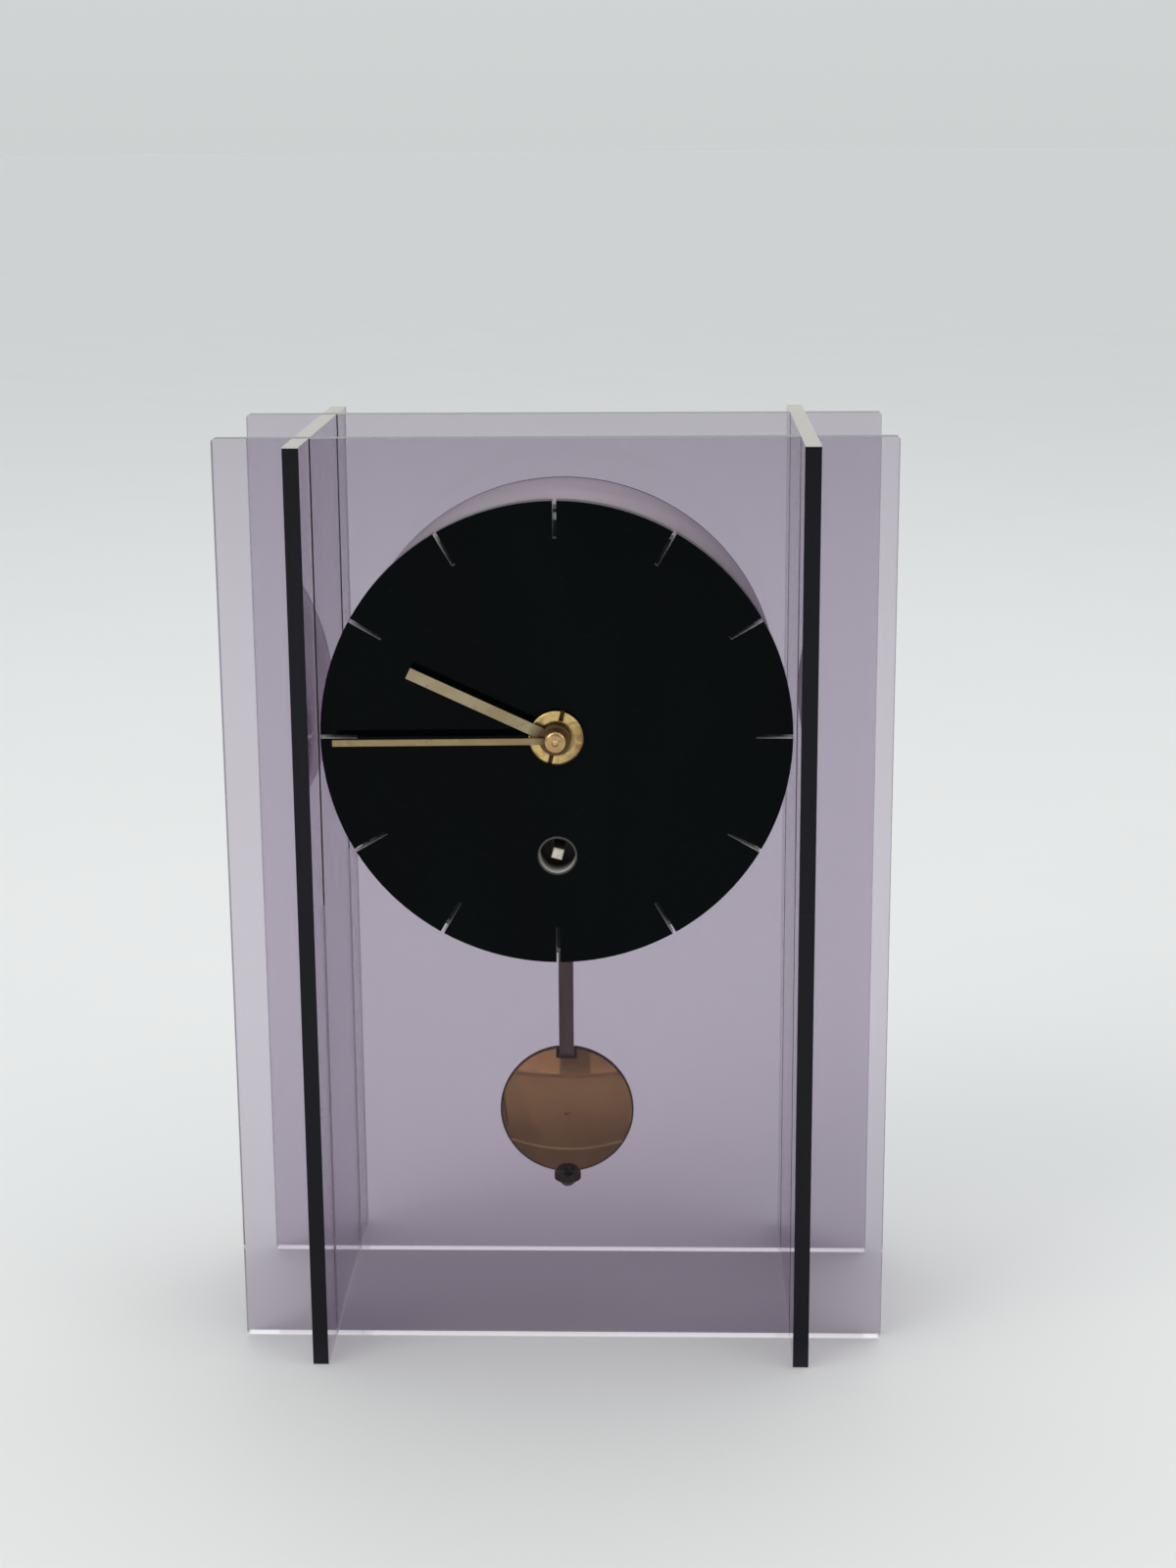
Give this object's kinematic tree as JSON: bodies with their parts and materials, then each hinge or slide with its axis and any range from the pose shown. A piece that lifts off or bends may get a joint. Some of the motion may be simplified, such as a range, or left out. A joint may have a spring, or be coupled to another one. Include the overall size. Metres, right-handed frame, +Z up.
{
  "type": "desk pendulum clock",
  "caption": "Desk pendulum clock on crossed clear acrylic sheets, with a round slotted dial, a key-wound movement in a short drum and a rod pendulum with a lens-shaped bob.",
  "frame": {"origin": "middle of the base, on the surface that the sheets stand on", "axes": "+Z up, the dial faces -Y, +X to the right as seen by someone who faces the dial"},
  "size_m": [0.21, 0.12, 0.297],
  "materials": {
    "acrylic": "clear lilac-tinted acrylic sheet with sawn and smoothed edges",
    "dial_black": "deep black acrylic, slots frosted",
    "disc_black": "matt black sheet",
    "drum_satin": "satin pale grey strip",
    "bright_metal": "bright turned tube",
    "brass_old": "polished brass gone slightly dull",
    "hand_brass": "matt pale brass",
    "bob_brass": "polished and lacquered brass",
    "brass": "brushed brass",
    "steel": "grained steel",
    "square_steel": "filed steel, warm grey",
    "rod_dark": "dark brown lacquered strip"
  },
  "bodies": {
    "root": {"front_panel": "acrylic", "rear_panel": "acrylic", "left_side_panel": "acrylic", "right_side_panel": "acrylic", "dial_disc": "dial_black", "mounting_disc": "disc_black", "drum_case": "drum_satin", "drum_screws": "steel", "winding_sleeve": "bright_metal", "centre_sleeve": "brass_old", "dial_ring_nut": "brass_old", "minute_wheel_stud": "steel", "front_plate": "brass", "back_plate": "brass", "pillars": "brass", "pillar_nuts": "brass", "movement_posts": "brass", "mounting_screws": "steel", "click_screw": "steel", "click_spring": "brass", "click_spring_screw": "steel", "back_cock": "brass", "cock_screws": "steel", "suspension_block": "brass", "suspension_pin": "steel"},
    "hour": {"hour_hand": "hand_brass", "hour_wheel": "brass"},
    "minute": {"minute_hand": "hand_brass", "cannon_pinion": "steel", "hand_nut": "brass_old"},
    "minute_wheel_body": {"minute_wheel": "brass"},
    "barrel_body": {"barrel": "brass", "barrel_cover": "brass", "mainspring": "steel"},
    "winding": {"barrel_arbor": "square_steel", "ratchet_wheel": "steel"},
    "click_body": {"click": "steel"},
    "intermediate": {"intermediate_arbor": "steel", "intermediate_wheel": "brass"},
    "centre": {"centre_arbor": "steel", "centre_wheel": "brass"},
    "third": {"third_arbor": "steel", "third_wheel": "brass"},
    "escape": {"escape_arbor": "steel", "escape_wheel": "brass"},
    "anchor": {"pallet_anchor": "steel", "anchor_arbor": "steel", "crutch": "brass"},
    "pendulum": {"suspension_spring": "steel", "hook_pin": "steel", "pendulum_hook": "brass", "pendulum_rod": "rod_dark", "rating_screw": "brass_old"},
    "bob": {"bob_front": "bob_brass", "bob_back": "bob_brass"},
    "nut": {"rating_nut": "brass_old"}
  },
  "joints": [
    {"name": "minute_turn", "type": "hinge", "parent": "root", "child": "minute", "pos_m": [0, 0, 0.205], "axis": [0, 1, 0], "continuous": true},
    {"name": "hour_turn", "type": "hinge", "parent": "root", "child": "hour", "pos_m": [0, 0, 0.205], "axis": [0, 1, 0], "continuous": true},
    {"name": "minute_wheel_turn", "type": "hinge", "parent": "root", "child": "minute_wheel_body", "pos_m": [-0.01018, 0, 0.19482], "axis": [0, 1, 0], "continuous": true},
    {"name": "third_turn", "type": "hinge", "parent": "root", "child": "third", "pos_m": [0.0138, 0, 0.21878], "axis": [0, 1, 0], "continuous": true},
    {"name": "centre_turn", "type": "hinge", "parent": "root", "child": "centre", "pos_m": [0, 0, 0.205], "axis": [0, 1, 0], "continuous": true},
    {"name": "intermediate_turn", "type": "hinge", "parent": "root", "child": "intermediate", "pos_m": [0.01606, 0, 0.19147], "axis": [0, 1, 0], "continuous": true},
    {"name": "barrel_turn", "type": "hinge", "parent": "root", "child": "barrel_body", "pos_m": [0, 0, 0.1666], "axis": [0, 1, 0], "continuous": true},
    {"name": "escape_turn", "type": "hinge", "parent": "root", "child": "escape", "pos_m": [0, 0, 0.22515], "axis": [0, 1, 0], "continuous": true},
    {"name": "winding_turn", "type": "hinge", "parent": "root", "child": "winding", "pos_m": [0, 0, 0.1666], "axis": [0, 1, 0], "range_deg": [0, 1800]},
    {"name": "click_drop", "type": "hinge", "parent": "root", "child": "click_body", "pos_m": [0.013, 0, 0.1791], "axis": [0, 1, 0], "range_deg": [0, 4.5], "stiffness_Nm_per_rad": 0.0005, "springref_deg": 8.59},
    {"name": "pendulum_swing", "type": "hinge", "parent": "root", "child": "pendulum", "pos_m": [0, 0, 0.24353], "axis": [0, 1, 0], "range_deg": [-3.5, 3.5]},
    {"name": "anchor_swing", "type": "hinge", "parent": "root", "child": "anchor", "pos_m": [0, 0, 0.24353], "axis": [0, 1, 0], "range_deg": [-3.5, 3.5]},
    {"name": "bob_slide", "type": "slide", "parent": "pendulum", "child": "bob", "axis": [0, 0, 1], "range_m": [-0.0015, 0.0015]},
    {"name": "rating_turn", "type": "hinge", "parent": "bob", "child": "nut", "pos_m": [0, 0.018, 0.034], "axis": [0, 0, 1], "range_deg": [-1080, 1080]}
  ],
  "couplings": [
    {"joint": "hour_turn", "follows": "minute_turn", "ratio": 0.083333},
    {"joint": "minute_wheel_turn", "follows": "minute_turn", "ratio": -0.33333},
    {"joint": "centre_turn", "follows": "third_turn", "ratio": -0.083333},
    {"joint": "intermediate_turn", "follows": "third_turn", "ratio": 0.013889},
    {"joint": "barrel_turn", "follows": "third_turn", "ratio": -0.0021701},
    {"joint": "escape_turn", "follows": "third_turn", "ratio": -11.667},
    {"joint": "anchor_swing", "follows": "pendulum_swing", "ratio": 1},
    {"joint": "rating_turn", "follows": "bob_slide", "rad_per_m": 12566}
  ]
}
